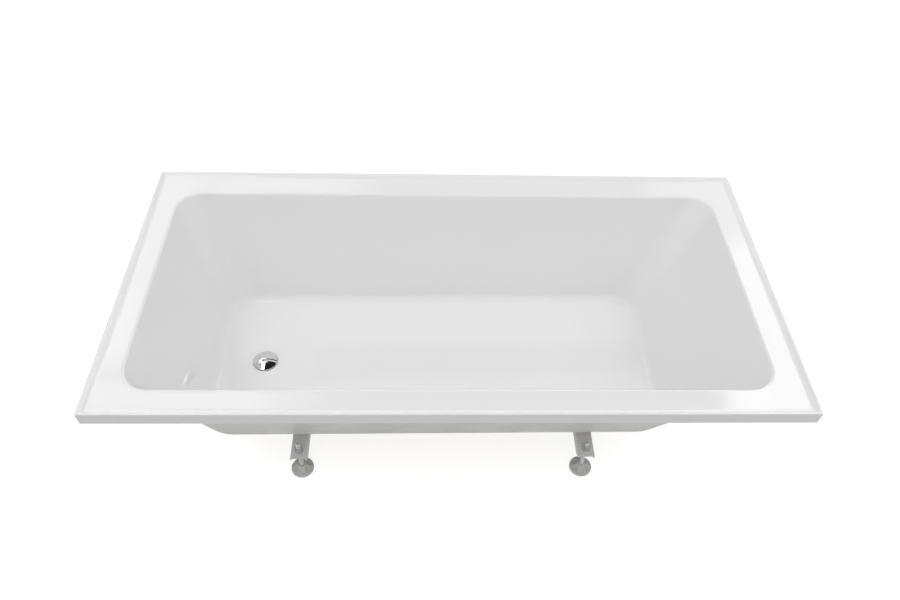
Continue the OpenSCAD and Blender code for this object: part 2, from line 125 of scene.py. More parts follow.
class BathShellSizes(bpy.types.PropertyGroup):
    """Sizes of the acrylic shell and of the glass fibre under it"""

    rim_waste: length("Rim, waste end", "Rim from the outer face to the basin, at the waste end", 0.064)
    rim_rest: length("Rim, backrest end", "Rim from the outer face to the basin, at the backrest", 0.067)
    rim_front: length("Rim, front", "Rim from the outer face to the basin, along the front", 0.0665)
    rim_back: length("Rim, back", "Rim from the outer face to the basin, along the back", 0.079)
    mouth_radius: length("Mouth radius", "Plan radius of the basin's mouth", 0.062)
    roll_radius: length("Roll radius", "Radius of the roll from the rim into the basin", 0.006)
    bead_height: length("Bead height", "Height of the raised bead above the flat rim", 0.0075)
    bead_width: length("Bead width", "Width of the bead's flat top", 0.004)
    bead_slope: length("Bead slope", "Run of the bead's sloping inner face", 0.009)
    skirt_depth: length("Skirt depth", "Depth of the turned-down skirt below the bead's top", 0.033)
    corner_radius: length("Corner radius", "Plan radius of the rim's outer corners", 0.003)
    inner_corner: length("Inner corner radius", "Plan radius of the bead's inner corners", 0.0025)
    depth: length("Depth", "From the bead's top to the floor at the waste", 0.330)
    lean_waste: length("Lean, waste end", "How far the waste-end wall leans in", 0.096)
    lean_rest: length("Lean, backrest", "How far the backrest leans in", 0.163)
    lean_front: length("Lean, front", "How far the front wall leans in", 0.0935)
    lean_back: length("Lean, back", "How far the back wall leans in", 0.081)
    floor_corner_radius: length("Floor corner radius", "Plan radius of the corners at the floor", 0.070)
    floor_radius: length("Floor radius, sides", "Radius between the long walls and the floor", 0.022)
    floor_radius_ends: length("Floor radius, ends", "Radius between the end walls and the floor", 0.040)
    floor_fall: length("Floor fall", "Rise of the floor towards the backrest", 0.011)
    acrylic_thickness: length("Acrylic thickness", "Thickness of the acrylic sheet", 0.004)
    glass_thickness: length("Glass-fibre thickness", "Thickness of the glass-fibre layer", 0.003)
    resin_thickness: length("Resin thickness", "Thickness of the resin between the two layers", 0.0001)


class BathWasteSizes(bpy.types.PropertyGroup):
    """Sizes of the waste and its plug"""

    waste_in: length("Waste inset", "From the foot of the waste-end wall to the waste's centre", 0.1165)
    recess_depth: length("Recess depth", "Depth of the recess that the flange sits in", 0.005)
    recess_radius: length("Recess radius", "Radius of the recess at its bottom", 0.0316)
    hole_radius: length("Hole radius", "Radius of the hole through the shell", 0.025)
    boss_radius: length("Boss radius", "Radius of the shell's boss under the recess", 0.039)
    cap_radius: length("Cap radius", "Radius of the plug's cap", 0.031)
    cap_dome: length("Cap dome", "Rise of the cap's dome", 0.006)
    cap_thickness: length("Cap thickness", "Thickness of the cap at its edge", 0.002)
    tail_radius: length("Tail radius", "Radius over the crests of the tail's thread", 0.0239)
    tail_pitch: length("Tail pitch", "Pitch of the tail's thread", 0.00231)
    spring_wire: length("Spring wire", "Radius of the spring's wire", 0.0005)
    spring_turns: IntProperty(
        name="Spring turns", description="Turns of the plug's spring", default=6, min=2
    )


class BathLegSizes(bpy.types.PropertyGroup):
    """Sizes of the leg bars' screws and of the feet"""

    rod_radius: length("Rod radius", "Radius over the crests of a foot's thread", 0.005)
    rod_pitch: length("Rod pitch", "Pitch of a foot's thread", 0.0015)
    nut_flat: length("Nut width", "Width across the flats of a foot's nut", 0.017)
    nut_height: length("Nut height", "Height of a foot's nut", 0.008)
    washer_radius: length("Washer radius", "Outer radius of a foot's washer", 0.010)
    washer_hole: length("Washer hole", "Radius of a washer's hole", 0.00525)
    washer_thickness: length("Washer thickness", "Thickness of a foot's washer", 0.002)
    screw_radius: length("Screw radius", "Radius of a leg bar's screw", 0.00225)
    screw_length: length("Screw length", "Length of a leg bar's screw under its head", 0.017)
    head_radius: length("Head radius", "Radius of a screw's head", 0.0045)
    head_height: length("Head height", "Height of a screw's head", 0.003)


class BathColours(bpy.types.PropertyGroup):
    """Colours of the finishes"""

    acrylic: colour("Acrylic", "Colour of the acrylic sheet", (0.87, 0.87, 0.87))
    glass_fibre: colour("Glass fibre", "Colour of the glass fibre and resin", (0.86, 0.86, 0.83))
    chipboard: colour("Chipboard", "Colour of the base board", (0.55, 0.40, 0.24))
    softwood: colour("Softwood", "Colour of the battens", (0.62, 0.44, 0.25))
    chrome: colour("Chrome", "Colour of the chrome plate", (0.81, 0.81, 0.812))
    rubber: colour("Rubber", "Colour of the gaskets and the seal", (0.022, 0.022, 0.023))
    white_plastic: colour("White plastic", "Colour of the pads and the slip washer", (0.74, 0.74, 0.71))
    brass: colour("Brass", "Colour of the turned brass", (0.60, 0.42, 0.16))
    spring_wire: colour("Spring wire", "Colour of the spring", (0.42, 0.42, 0.43))
    white_coat: colour("White coat", "Colour of the leg bars' powder coat", (0.78, 0.78, 0.77))
    zinc: colour("Zinc", "Colour of the zinc plate", (0.60, 0.61, 0.63))


class BathStageSizes(bpy.types.PropertyGroup):
    """Camera and light"""

    camera_place: FloatVectorProperty(
        name="Camera place",
        description="Where the camera stands",
        default=(-0.0687, -1.2173, 1.7411),
        subtype="TRANSLATION",
        unit="LENGTH",
    )
    pitch: rotation("Pitch", "How far the camera looks down", 48.579)
    yaw: rotation("Yaw", "How far the camera turns to the right", 3.184)
    roll: rotation("Roll", "How far the camera leans over", -2.635)
    lens: FloatProperty(
        name="Lens", description="Focal length on a 36 mm sensor", default=30.295, unit="CAMERA"
    )
    sky: strength("Sky", "Strength of the even light all round", 0.464)
    surround: strength("Surround", "Brightness that polished faces mirror", 1.0)


# Node trees


class Link:
    """A socket in a node tree, which takes part in Python sums."""

    def __init__(self, nodes, socket):
        self.nodes = nodes
        self.socket = socket

    def maths(self, operation, first, second):
        values = {"Value": first, "Value_001": second}
        return self.nodes.node("ShaderNodeMath", values, operation=operation)["Value"]

    def __add__(self, other):
        return self.maths("ADD", self, other)

    def __radd__(self, other):
        return self.maths("ADD", other, self)

    def __sub__(self, other):
        return self.maths("SUBTRACT", self, other)

    def __rsub__(self, other):
        return self.maths("SUBTRACT", other, self)

    def __mul__(self, other):
        return self.maths("MULTIPLY", self, other)

    def __rmul__(self, other):
        return self.maths("MULTIPLY", other, self)


class Outputs:
    """The output sockets of a node, each as a Link."""

    def __init__(self, nodes, node):
        self.nodes = nodes
        self.node = node

    def __getitem__(self, identifier):
        return Link(self.nodes, socket_of(self.node.outputs, identifier))


def socket_of(sockets, identifier):
    """The socket of that identifier."""
    for socket in sockets:
        if socket.identifier == identifier:
            return socket
    raise KeyError(f"no socket {identifier}; there are {[s.identifier for s in sockets]}")


class Nodes:
    """A node tree under construction."""

    def __init__(self, tree):
        self.tree = tree

    def node(self, kind, values=None, **settings):
        """Adds a node: its settings first, then the values or links of its sockets."""
        node = self.tree.nodes.new(kind)
        for key, value in settings.items():
            setattr(node, key, value)
        for key, value in (values or {}).items():
            socket = socket_of(node.inputs, key)
            if isinstance(value, Link):
                self.tree.links.new(value.socket, socket)
            else:
                socket.default_value = value
        return Outputs(self, node)


def cleared_tree(owner):
    """The node tree of a new material or world, emptied."""
    owner.use_nodes = True
    owner.node_tree.nodes.clear()
    return owner.node_tree


# Finishes


class Finish(Nodes):
    """A material under construction."""

    def __init__(self, name):
        self.material = bpy.data.materials.new(name)
        super().__init__(cleared_tree(self.material))

    def place(self, scale=(1.0, 1.0, 1.0), turn=(0.0, 0.0, 0.0)):
        """Object coordinates, turned and stretched."""
        place = self.node("ShaderNodeTexCoord")["Object"]
        return self.node("ShaderNodeMapping", {"Vector": place, "Scale": scale, "Rotation": turn})["Vector"]

    def noise(self, scale, detail=2.0, place=None, rough=0.5, distort=0.0):
        """Soft noise: smaller with a larger scale, finer with more detail."""
        values = {"Vector": place or self.place(), "Scale": scale, "Detail": detail}
        values |= {"Roughness": rough, "Distortion": distort}
        return self.node("ShaderNodeTexNoise", values)["Fac"]

    def cells(self, stretch, scale):
        """Cells, with their colours and the distance to their middles."""
        return self.node("ShaderNodeTexVoronoi", {"Vector": self.place(stretch), "Scale": scale})

    def part(self, vector, axis):
        """One number of a place or a colour."""
        return self.node("ShaderNodeSeparateXYZ", {"Vector": vector})[axis]

    def ramp(self, value, low, high, to_low=0.0, to_high=1.0):
        """Value from low to high, mapped to the other two and held at them."""
        values = {"Value": value, "From Min": low, "From Max": high, "To Min": to_low, "To Max": to_high}
        return self.node("ShaderNodeMapRange", values, clamp=True)["Result"]

    def tone(self, amount, shade, low, high):
        """A colour between two shares of its brightness, by amount."""
        first, second = [(*(min(1.0, c * share) for c in shade), 1.0) for share in (low, high)]
        values = {"Factor_Float": amount, "A_Color": first, "B_Color": second}
        return self.node("ShaderNodeMix", values, data_type="RGBA")["Result_Color"]

    def clear(self):
        """A surface that isn't there."""
        return self.node("ShaderNodeBsdfTransparent")["BSDF"]

    def end(self, shader):
        """Ends the material in a shader."""
        self.node("ShaderNodeOutputMaterial", {"Surface": shader})
        return self.material

    def mixed(self, share, first, second):
        """Ends the material in a mix of two shaders."""
        values = {"Fac": share, "Shader": first, "Shader_001": second}
        return self.end(self.node("ShaderNodeMixShader", values)["Shader"])

    def surface(self, tone, roughness, height, depth, **values):
        """Ends the material in one solid shader, with a relief of that depth."""
        relief = {"Height": height, "Distance": depth, "Strength": 1.0}
        normal = self.node("ShaderNodeBump", relief)["Normal"]
        values |= {"Base Color": tone, "Roughness": roughness, "Normal": normal}
        return self.end(self.node("ShaderNodeBsdfPrincipled", values)["BSDF"])


def acrylic_finish(name, shade):
    """Polished acrylic sheet, with the faint ripple of a drawn sheet."""
    f = Finish(name)
    ripple = f.noise(9.0, 1.0)
    fine = f.noise(160.0)
    haze = f.noise(24.0, 3.0)
    rough = f.ramp(haze, 0.3, 0.7, 0.018, 0.035)
    return f.surface(f.tone(haze, shade, 0.995, 1.004), rough, ripple * 0.7 + fine * 0.004, 0.0004, IOR=1.49)


def glass_fibre_finish(name, shade):
    """Chopped strands laid over each other in resin."""
    f = Finish(name)
    strands = None
    for turn in ((0.3, 0.2, 0.1), (0.4, 1.3, 0.8), (1.2, 0.5, 1.9), (2.0, 1.1, 2.8), (0.9, 2.2, 0.4)):
        layer = f.ramp(f.noise(1.0, 1.0, f.place((28.0, 330.0, 330.0), turn)), 0.54, 0.68)
        strands = layer if strands is None else strands.maths("MAXIMUM", strands, layer)
    pool = f.noise(14.0, 3.0)
    tone = f.tone(strands * 0.6 + pool * 0.4, shade, 0.93, 1.08)
    return f.surface(tone, f.ramp(pool, 0.35, 0.65, 0.34, 0.6), strands * 0.5 + pool * 1.2, 0.0007)


def chipboard_finish(name, shade):
    """Pressed wood chips of mixed sizes."""
    f = Finish(name)
    chips = f.cells((1.0, 1.6, 2.6), 190.0)
    dust = f.part(f.cells((1.5, 1.0, 2.2), 420.0)["Color"], "Y")
    mixed = f.part(chips["Color"], "X") * 0.65 + dust * 0.35
    tone = f.tone(mixed, shade, 0.55, 1.45)
    return f.surface(tone, f.ramp(mixed, 0.2, 0.8, 0.7, 0.9), chips["Distance"] + dust * 0.4, 0.0005)


def softwood_finish(name, shade, grain):
    """Sawn softwood, stretched along its grain."""
    f = Finish(name)
    rings = f.noise(6.0, 3.0, f.place(grain), 0.6, 0.5)
    lines = rings.maths("PINGPONG", rings * 14.0, 1.0)
    fibre = f.noise(6.0, 2.0, f.place(tuple(12.0 * v for v in grain)))
    stain = f.noise(1.2, 2.0, f.place((9.0, 9.0, 9.0)))
    tone = f.tone(lines * 0.55 + fibre * 0.3 + stain * 0.25, shade, 1.3, 0.6)
    return f.surface(tone, f.ramp(fibre, 0.3, 0.7, 0.62, 0.82), lines * 0.4 + fibre, 0.0006)


def chrome_finish(name, shade):
    """Bright chrome plate over polished brass."""
    f = Finish(name)
    film = f.noise(60.0, 3.0)
    wipe = f.noise(1.0, 2.0, f.place((400.0, 60.0, 400.0), (0.0, 0.0, 0.5)))
    rough = f.ramp(film * 0.6 + wipe * 0.4, 0.35, 0.65, 0.025, 0.07)
    return f.surface(f.tone(film, shade, 0.97, 1.03), rough, wipe, 0.000005, Metallic=1.0)


def rubber_finish(name, shade):
    """Moulded black rubber, a little dusty."""
    f = Finish(name)
    dust = f.noise(90.0, 4.0)
    tone = f.tone(f.ramp(dust, 0.4, 0.75), shade, 1.0, 2.2)
    return f.surface(tone, f.ramp(dust, 0.3, 0.7, 0.6, 0.82), f.noise(1400.0), 0.0001)


def white_plastic_finish(name, shade):
    """Moulded nylon with a fine spark-eroded grain."""
    f = Finish(name)
    cloud = f.noise(18.0, 3.0)
    rough = f.ramp(cloud, 0.3, 0.7, 0.38, 0.5)
    return f.surface(f.tone(cloud, shade, 0.96, 1.03), rough, f.noise(1800.0), 0.00006)


def metal_finish(name, shade, rough, mottle, stretch, mark):
    """Turned or plated metal: a mottled tone and fine marks along one way."""
    f = Finish(name)
    cloud = f.noise(mottle, 3.0)
    marks = f.noise(1.0, 2.0, f.place(stretch))
    shine = f.ramp(cloud * 0.5 + marks * 0.5, 0.35, 0.65, rough * 0.75, rough * 1.25)
    return f.surface(f.tone(cloud, shade, 0.86, 1.1), shine, marks, mark, Metallic=1.0)


def white_coat_finish(name, shade):
    """Baked powder coat with its orange-peel skin."""
    f = Finish(name)
    peel = f.noise(420.0)
    tone = f.tone(f.noise(20.0), shade, 0.97, 1.02)
    return f.surface(tone, f.ramp(peel, 0.3, 0.7, 0.3, 0.42), peel, 0.00018)


# How the marks of turned and of plated metal are stretched, and the grain of a batten along X and Y
TURNED = (90.0, 90.0, 2600.0)
PLATED = (700.0, 700.0, 700.0)
GRAIN_X = (0.5, 9.0, 9.0)
GRAIN_Y = (9.0, 0.5, 9.0)

# Finish, the record's slot, the colour's name, how it is made and what that takes besides
RECIPES = (
    ("white_acrylic", "acrylic", "acrylic", acrylic_finish),
    ("glass_fibre", "glass_fibre", "glass_fibre", glass_fibre_finish),
    ("chipboard", "board", "chipboard", chipboard_finish),
    ("softwood_long", "batten", "softwood", softwood_finish, GRAIN_X),
    ("softwood_cross", "batten", "softwood", softwood_finish, GRAIN_Y),
    ("chrome", "chrome", "chrome", chrome_finish),
    ("rubber", "rubber", "rubber", rubber_finish),
    ("white_plastic", "white_plastic", "white_plastic", white_plastic_finish),
    ("turned_brass", "brass", "brass", metal_finish, 0.24, 70.0, TURNED, 0.00004),
    ("spring_wire", "spring_steel", "spring_wire", metal_finish, 0.3, 300.0, PLATED, 0.00002),
    ("white_coat", "bar_coat", "white_coat", white_coat_finish),
    ("zinc_plate", "zinc", "zinc", metal_finish, 0.34, 140.0, PLATED, 0.00004),
)

FINISHES = {}
SLOTS = {}


def make_finishes(shades):
    """Makes every finish of the bath."""
    for finish, slot, shade, recipe, *more in RECIPES:
        FINISHES[finish] = recipe(finish, tuple(getattr(shades, shade)), *more)
        SLOTS[finish] = slot


# Meshes

ORIGIN = (0.0, 0.0, 0.0)

# How far the middle point of a turned shape stands off its axis
AXIS = 0.00001

# Points nearer than this are merged, in the shapes made here and in the solids
APART = 1e-6
SOLID_APART = 2e-6


def add_object(name, data):
    """An object in the scene that holds the data."""
    piece = bpy.data.objects.new(name, data)
    bpy.context.scene.collection.objects.link(piece)
    return piece


def finish_piece(name, mesh, finish, body, sharp=35.0, replaced=()):
    """Puts a mesh in the scene with its finish, shading and body."""
    mesh.name = name
    mesh.materials.clear()
    mesh.materials.append(FINISHES[finish])
    mesh.shade_smooth()
    mesh.set_sharp_from_angle(angle=math.radians(sharp))
    piece = add_object(name, mesh)
    SLOTS[finish]
    if replaced:
        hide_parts(*replaced)
    if body:
        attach(piece, body)
    return piece


def mesh_of(name, points, faces):
    """A mesh from points and faces."""
    mesh = bpy.data.meshes.new(name)
    mesh.from_pydata([tuple(p) for p in points], [], faces)
    return mesh


def welded(mesh, apart):
    """A mesh open for work, with its doubled points merged."""
    work = bmesh.new()
    work.from_mesh(mesh)
    bmesh.ops.remove_doubles(work, verts=work.verts, dist=apart)
    return work


def clean_mesh(name, points, faces):
    """A mesh without doubled points or flat faces, and with its faces turned outwards."""
    mesh = mesh_of(name, points, faces)
    work = welded(mesh, APART)
    bmesh.ops.dissolve_degenerate(work, dist=APART, edges=work.edges)
    bmesh.ops.recalc_face_normals(work, faces=work.faces)
    work.to_mesh(mesh)
    work.free()
    return mesh


def loft(rings, closed=False):
    """Points and faces through a chain of rings, each with the same number of points."""
    count = len(rings[0])
    points = [p for ring in rings for p in ring]
    spans = len(rings) if closed else len(rings) - 1
    faces = []
    for k in range(spans):
        low = k * count
        high = (k + 1) % len(rings) * count
        for j in range(count):
            after = (j + 1) % count
            faces.append((low + j, high + j, high + after, low + after))
    if not closed:
        faces.append(tuple(range(count)))
        faces.append(tuple((len(rings) - 1) * count + j for j in reversed(range(count))))
    return points, faces


def round_path(path, radii, steps=5):
    """A path with each of its inner corners rounded to a radius."""
    done = [Vector(path[0])]
    for before, corner, after, radius in zip(path, path[1:], path[2:], radii):
        corner = Vector(corner)
        back = (Vector(before) - corner).normalized()
        ahead = (Vector(after) - corner).normalized()
        half = back.angle(ahead) / 2
        reach = radius / math.tan(half)
        centre = corner + (back + ahead).normalized() * (radius / math.sin(half))
        start = corner + back * reach - centre
        end = corner + ahead * reach - centre
        sweep = start.angle(end)
        for k in range(steps + 1):
            share = k / steps
            blend = (start * math.sin((1 - share) * sweep) + end * math.sin(share * sweep)) / math.sin(sweep)
            done.append(centre + blend)
    done.append(Vector(path[-1]))
    return done


def circle(radius, height, centre, count):
    """A level ring of points, counter-clockwise from above."""
    x, y, z = centre
    turns = [2 * math.pi * i / count for i in range(count)]
    return [Vector((x + radius * math.cos(a), y + radius * math.sin(a), z + height)) for a in turns]


def turned_mesh(name, profile, count, closed=False, centre=ORIGIN):
    """A lathe shape: its profile is (radius, height) pairs, bottom to top along the outside."""
    rings = [circle(radius, height, centre, count) for radius, height in profile]
    if closed:
        rings.reverse()
    return clean_mesh(name, *loft(rings, closed))


def plain_mesh(piece):
    """The evaluated shape of an object as a mesh of its own; the object goes."""
    bpy.context.view_layer.update()
    depsgraph = bpy.context.evaluated_depsgraph_get()
    mesh = bpy.data.meshes.new_from_object(piece.evaluated_get(depsgraph))
    bpy.data.objects.remove(piece)
    return mesh


def refined_copy(node, finish, body, bevel):
    """A solid's own shape with its facets joined, its edges eased and its curves shaded smooth."""
    mesh = frame["nodes"][node].data.copy()
    work = welded(mesh, SOLID_APART)
    bmesh.ops.dissolve_limit(work, angle_limit=math.radians(0.5), verts=work.verts, edges=work.edges)
    work.to_mesh(mesh)
    work.free()
    piece = add_object(node + "_work", mesh)
    ease = piece.modifiers.new("eased_edges", "BEVEL")
    ease.width = bevel
    ease.segments = 2
    ease.limit_method = "ANGLE"
    ease.angle_limit = math.radians(40)
    finish_piece(node + "_skin", plain_mesh(piece), finish, body, replaced=(node,))


# Geometry Nodes


class ShapeTree(Nodes):
    """A geometry tree under construction: it takes a shape, the inputs named, and a material."""

    def __init__(self, name, *inputs):
        super().__init__(bpy.data.node_groups.new(name, "GeometryNodeTree"))
        face = self.tree.interface
        inputs = (("Geometry", "Geometry", None), *inputs, ("Material", "Material", None))
        for label, kind, default in inputs:
            socket = face.new_socket(label, in_out="INPUT", socket_type="NodeSocket" + kind)
            if default is not None:
                socket.default_value = default
        face.new_socket("Geometry", in_out="OUTPUT", socket_type="NodeSocketGeometry")
        entry = Outputs(self, self.tree.nodes.new("NodeGroupInput"))
        self.ids = {item.name: item.identifier for item in face.items_tree if item.in_out == "INPUT"}
        self.given = {label: entry[key] for label, key in self.ids.items()}

    def end(self, shape):
        """Realizes what the tree made, gives it its material and hands it out."""
        whole = self.node("GeometryNodeRealizeInstances", {"Geometry": shape})["Geometry"]
        values = {"Geometry": whole, "Material": self.given["Material"]}
        dressed = self.node("GeometryNodeSetMaterial", values)["Geometry"]
        output = self.tree.nodes.new("NodeGroupOutput")
        self.tree.links.new(dressed.socket, output.inputs[0])
        return self


def helix_tree():
    """A wire or a thread's crest wound round a core: round in section, or three-sided."""
    t = ShapeTree(
        "wound_helix",
        ("Radius", "Float", 0.005),
        ("Turns", "Float", 10.0),
        ("Height", "Float", 0.015),
        ("Steps", "Int", 32),
        ("Sides", "Int", 3),
        ("Size", "Float", 0.0005),
    )
    given = t.given
    winding = {
        "Resolution": given["Steps"],
        "Rotations": given["Turns"],
        "Start Radius": given["Radius"],
        "End Radius": given["Radius"],
        "Height": given["Height"],
        "Reverse": True,
    }
    path = t.node("GeometryNodeCurveSpiral", winding)["Curve"]
    upright = t.node("GeometryNodeSetCurveNormal", {"Curve": path}, mode="Z_UP")["Curve"]
    ring = {"Resolution": given["Sides"], "Radius": given["Size"]}
    section = t.node("GeometryNodeCurvePrimitiveCircle", ring, mode="RADIUS")["Curve"]
    sweep = {"Curve": upright, "Profile Curve": section, "Fill Caps": True}
    swept = t.node("GeometryNodeCurveToMesh", sweep)["Mesh"]
    joined = t.tree.nodes.new("GeometryNodeJoinGeometry")
    for shape in (swept, given["Geometry"]):
        t.tree.links.new(shape.socket, joined.inputs[0])
    return t.end(Link(t, joined.outputs[0]))


def copies_tree():
    """Copies of one template on every point of a mesh, each turned its own way."""
    t = ShapeTree(
        "copies_on_points", ("Template", "Object", None), ("Turn", "Float", math.pi), ("Seed", "Int", 3)
    )
    template = t.node("GeometryNodeObjectInfo", {"Object": t.given["Template"]})["Geometry"]
    span = {"Min_001": 0.0, "Max_001": t.given["Turn"], "Seed": t.given["Seed"]}
    angle = t.node("FunctionNodeRandomValue", span, data_type="FLOAT")["Value_001"]
    turn = t.node("ShaderNodeCombineXYZ", {"Z": angle})["Vector"]
    copies = {"Points": t.given["Geometry"], "Instance": template, "Rotation": turn}
    return t.end(t.node("GeometryNodeInstanceOnPoints", copies)["Instances"])


TREES = {}


def run_tree(kind, name, mesh, finish, values):
    """Runs a tree on a mesh with its inputs set, and returns the plain mesh."""
    tree = TREES[kind]
    piece = add_object(name + "_work", mesh)
    step = piece.modifiers.new(kind, "NODES")
    step.node_group = tree.tree
    for label, value in (values | {"Material": FINISHES[finish]}).items():
        step[tree.ids[label]] = value
    return plain_mesh(piece)


def wound_piece(name, core, place, winding, finish, body, sharp, replaced=()):
    """A core at the origin with a helix round it, moved to its place."""
    values = dict(zip(("Radius", "Turns", "Height", "Sides", "Size"), winding))
    mesh = run_tree("helix", name, core, finish, values)
    mesh.transform(Matrix.Translation(place))
    return finish_piece(name, mesh, finish, body, sharp, replaced)


def copies_piece(name, node, template, places, finish):
    """One template on each of the places, as one piece in place of a solid."""
    holder = add_object(name + "_template", template)
    mesh = run_tree("copies", name, mesh_of(name + "_points", places, []), finish, {"Template": holder})
    bpy.data.objects.remove(holder)
    finish_piece(name, mesh, finish, TUB, 40.0, (node,))


# The bath's shape

# How far the rings on either side of a roll, a fillet or an edge stand from it
LEAD = 0.003

# Steps in the rounding of the shell's edges, and sides of a thread's and of a wire's section
EDGE_STEPS = 6
THREAD_SIDES = 6
WIRE_SIDES = 10


class Basin:
    """The rings of the basin and of the rim, as the solids have them, with finer steps."""

    corner_steps = 20
    long_steps = 40
    short_steps = 20
    roll_steps = 12
    wall_steps = 10
    fillet_steps = 20

    # How far the rings follow the roll and the fillet, both of which end where the wall begins
    arc = math.radians(77)

    def __init__(self, scene):
        sizes = scene.bath_shell
        waste = scene.bath_waste
        self.s = sizes
        self.waste = waste
        self.half_x = (cad_high.x - cad_low.x) / 2
        self.half_y = (cad_high.y - cad_low.y) / 2
        self.top = cad_high.z
        self.rim_z = self.top - sizes.bead_height
        self.drop = sizes.depth - sizes.bead_height
        self.floor_z = self.top - sizes.depth
        self.x0 = -self.half_x + sizes.rim_waste
        self.x1 = self.half_x - sizes.rim_rest
        self.y0 = -self.half_y + sizes.rim_front
        self.y1 = self.half_y - sizes.rim_back
        foot_x0 = self.x0 + sizes.lean_waste
        foot_x1 = self.x1 - sizes.lean_rest
        self.slope = sizes.floor_fall / (foot_x1 - foot_x0)
        self.waste_x = foot_x0 + waste.waste_in
        self.waste_y = (self.y0 + sizes.lean_front + self.y1 - sizes.lean_back) / 2
        self.walls = (
            (sizes.lean_waste, sizes.floor_radius_ends),
            (sizes.lean_rest, sizes.floor_radius_ends),
            (sizes.lean_front, sizes.floor_radius),
            (sizes.lean_back, sizes.floor_radius),
        )

    def wall_in(self, depth, lean, floor_radius, off):
        """How far a wall has come in from the mouth's edge at a depth, on the surface off outside."""
        angle = math.atan(lean / self.drop)
        roll = self.s.roll_radius - off
        fillet = floor_radius + off
        roll_end = roll * (1 - math.sin(angle))
        wall_end = self.drop - fillet * (1 - math.sin(angle))
        if depth < roll_end:
            return math.sqrt(max(0.0, roll * roll - (roll - depth) ** 2)) - roll_end / math.cos(angle)
        if depth < wall_end:
            return depth * math.tan(angle)
        rest = max(0.0, fillet * fillet - (depth - self.drop + fillet) ** 2)
        return wall_end * math.tan(angle) + fillet * math.cos(angle) - math.sqrt(rest)

    def plan_ring(self, x0, x1, y0, y1, radius, height):
        """A rounded rectangle with its straight sides divided; height is a function of x and y."""
        arcs = (
            ((x1 - radius, y0 + radius), -90),
            ((x1 - radius, y1 - radius), 0),
            ((x0 + radius, y1 - radius), 90),
            ((x0 + radius, y0 + radius), 180),
        )
        sides = (self.short_steps, self.long_steps, self.short_steps, self.long_steps)
        flat = []
        for k, ((cx, cy), start) in enumerate(arcs):
            for i in range(self.corner_steps + 1):
                a = math.radians(start + 90 * i / self.corner_steps)
                flat.append((cx + radius * math.cos(a), cy + radius * math.sin(a)))
            (nx, ny), turn = arcs[(k + 1) % 4]
            a = math.radians(turn)
            end = (nx + radius * math.cos(a), ny + radius * math.sin(a))
            begin = flat[-1]
            for i in range(1, sides[k]):
                share = i / sides[k]
                flat.append((begin[0] + (end[0] - begin[0]) * share, begin[1] + (end[1] - begin[1]) * share))
        return [Vector((x, y, height(x, y))) for x, y in flat]

    def ring(self, depth, off, out=0.0):
        """One ring of the basin at a depth, on the surface off outside its own."""
        s = self.s
        insets = []
        extra = 0.0
        for lean, floor_radius in self.walls:
            angle = math.atan(lean / self.drop)
            wall = self.wall_in(depth, lean, floor_radius, off)
            insets.append(off * (math.tan(angle) - 1 / math.cos(angle)) + wall - out)
            extra += (wall - depth * lean / self.drop) / 4
        share = depth / self.drop
        radius = s.mouth_radius + off + (s.floor_corner_radius - s.mouth_radius) * share - extra + out

        def height(x, y):
            return self.rim_z - off - depth + self.slope * (x - self.waste_x) * share

        x0, x1, y0, y1 = insets
        return self.plan_ring(self.x0 + x0, self.x1 - x1, self.y0 + y0, self.y1 - y1, radius, height)

    def depths(self, off):
        """Depths of the rings: close in the roll and the fillet, even down the wall."""
        roll = self.s.roll_radius - off
        fillet = max(self.s.floor_radius, self.s.floor_radius_ends) + off
        arc = self.arc
        bends = [1 - math.cos(arc * i / self.roll_steps) for i in range(self.roll_steps + 1)]
        down = [roll * bend for bend in bends]
        bends = [1 - math.cos(arc * i / self.fillet_steps) for i in range(self.fillet_steps + 1)]
        up = [self.drop - fillet * bend for bend in bends]
        high = down[-1]
        low = up[-1]
        walls = [high + LEAD]
        walls += [high + (low - high) * i / self.wall_steps for i in range(1, self.wall_steps)]
        walls.append(low - LEAD)
        return down + walls + up[::-1]

    def rim_ring(self, inset, height):
        """One ring round the rim, a distance in from its outer face."""
        s = self.s
        radius = max(s.corner_radius - inset, s.inner_corner)
        x = self.half_x - inset
        y = self.half_y - inset
        return self.plan_ring(-x, x, -y, y, radius, lambda _x, _y: height)

    def waste_ring(self, radius, height, tilt):
        """A ring round the waste, whose points face those of the floor's edge; tilt is 1 on the floor."""
        edge = self.ring(self.drop, 0.0)
        ring = []
        for p in edge:
            way = Vector((p.x - self.waste_x, p.y - self.waste_y)).normalized()
            x = self.waste_x + radius * way.x
            y = self.waste_y + radius * way.y
            ring.append(Vector((x, y, self.floor_z + height + tilt * self.slope * (x - self.waste_x))))
        return ring

    def layer(self, top_off, low_off, top_waste, edge, low_waste):
        """The rings of one layer: out over its upper side, round its edge and back underneath."""
        rings = [self.waste_ring(r, z, tilt) for r, z, tilt in top_waste]
        rings.append(self.ring(self.drop, top_off, -LEAD))
        rings += [self.ring(t, top_off) for t in reversed(self.depths(top_off))]
        rings.append(self.ring(0.0, top_off, LEAD))
        rings += [self.rim_ring(inset, z) for inset, z in edge]
        rings.append(self.ring(0.0, low_off, LEAD))
        rings += [self.ring(t, low_off) for t in self.depths(low_off)]
        rings.append(self.ring(self.drop, low_off, -LEAD))
        rings += [self.waste_ring(r, z, tilt) for r, z, tilt in low_waste]
        return rings


def on_floor(share):
    """How much of the floor's slope a point round the waste follows: from none, 0, to all, 1."""
    return min(1.0, max(0.0, share))


def layer_piece(name, rings, finish, node):
    """One layer of the bath through its rings, in place of a solid."""
    mesh = mesh_of(name, *loft(rings, closed=True))
    mesh.validate()
    finish_piece(name, mesh, finish, TUB, 40.0, (node,))


